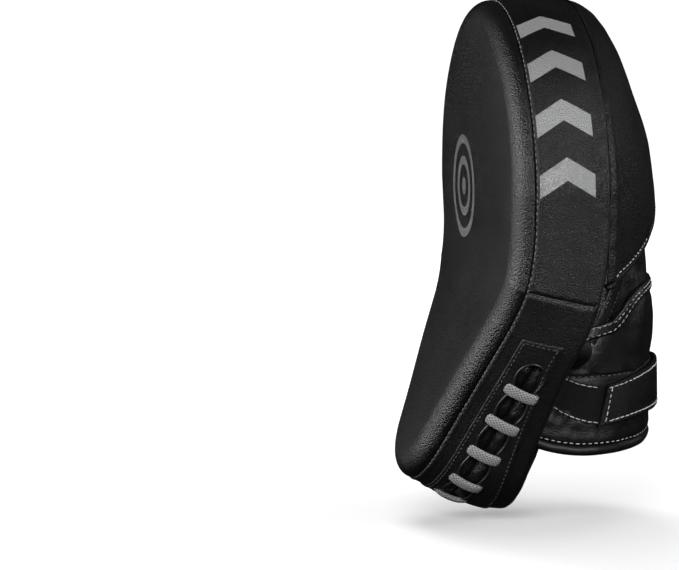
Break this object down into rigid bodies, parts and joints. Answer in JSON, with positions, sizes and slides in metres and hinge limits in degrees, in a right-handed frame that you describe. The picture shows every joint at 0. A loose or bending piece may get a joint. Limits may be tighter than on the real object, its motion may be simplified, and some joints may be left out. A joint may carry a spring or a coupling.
{
  "type": "focus mitt",
  "caption": "Curved black focus mitt for the right hand: laced padded striking face, finger hood, glove and hook-and-loop wrist strap.",
  "frame": {"origin": "centre of the wrist opening, in the plane of its rim", "axes": "+Z towards the fingertip end, -Y the way the striking face looks, +X the thumb side of a right hand"},
  "size_m": [0.191, 0.139, 0.2629],
  "materials": {
    "face_leather": "synthetic leather, fine grain, satin",
    "band_leather": "synthetic leather, fine grain, satin",
    "pad_leather": "synthetic leather, fine grain, satin",
    "tongue_leather": "soft synthetic leather, satin",
    "hood_leather": "synthetic leather, fine grain, satin",
    "glove_leather": "synthetic leather, glossy on the puffed parts",
    "cuff_leather": "synthetic leather, fine grain, satin",
    "strap_leather": "synthetic leather, fine grain, satin",
    "grip_leather": "synthetic suede, matte",
    "firm_foam": "closed-cell foam, matte",
    "soft_foam": "open-cell foam, matte",
    "board": "stiff sheet, matte",
    "lining_fabric": "knitted lining, matte",
    "binding": "woven edge tape, rolled",
    "mesh_fabric": "open knitted mesh, light grey",
    "lace_cord": "flat braided lace, light grey",
    "loop_fabric": "loop tape, fuzzy",
    "hook_tape": "moulded hook tape"
  },
  "bodies": {
    "mitt": {"striking_face": "face_leather", "impact_foam": "firm_foam", "cushion_foam": "soft_foam", "back_board": "board", "side_band_upper": "band_leather", "side_band_lower": "band_leather", "back_panel": "pad_leather", "lace_facing": "band_leather", "lace_tongue": "tongue_leather", "lace": "lace_cord", "hood_shell": "hood_leather", "hood_padding": "soft_foam", "hood_lining": "lining_fabric", "hood_binding": "binding", "finger_stall": "glove_leather", "mesh_panels": "mesh_fabric", "seam_band": "glove_leather", "hand_back_panel": "glove_leather", "glove_lining": "lining_fabric", "thumb_pouch": "glove_leather", "palm_grip": "grip_leather", "wrist_cuff": "cuff_leather", "cuff_lining": "lining_fabric", "cuff_binding": "binding", "loop_patch": "loop_fabric", "strap_anchor": "strap_leather"},
    "wrist_strap": {"strap_band": "strap_leather"},
    "strap_tip": {"strap_tip": "strap_leather", "hook_patch": "hook_tape"}
  },
  "joints": [
    {"name": "strap_swing", "type": "hinge", "parent": "mitt", "child": "wrist_strap", "pos_m": [-0.0497, 0.0092, 0.0285], "axis": [0, 0, 1], "range_deg": [0, 100]},
    {"name": "strap_peel", "type": "hinge", "parent": "wrist_strap", "child": "strap_tip", "pos_m": [0.02015, 0.03706, 0.0285], "axis": [0, 0, 1], "range_deg": [0, 80]}
  ]
}
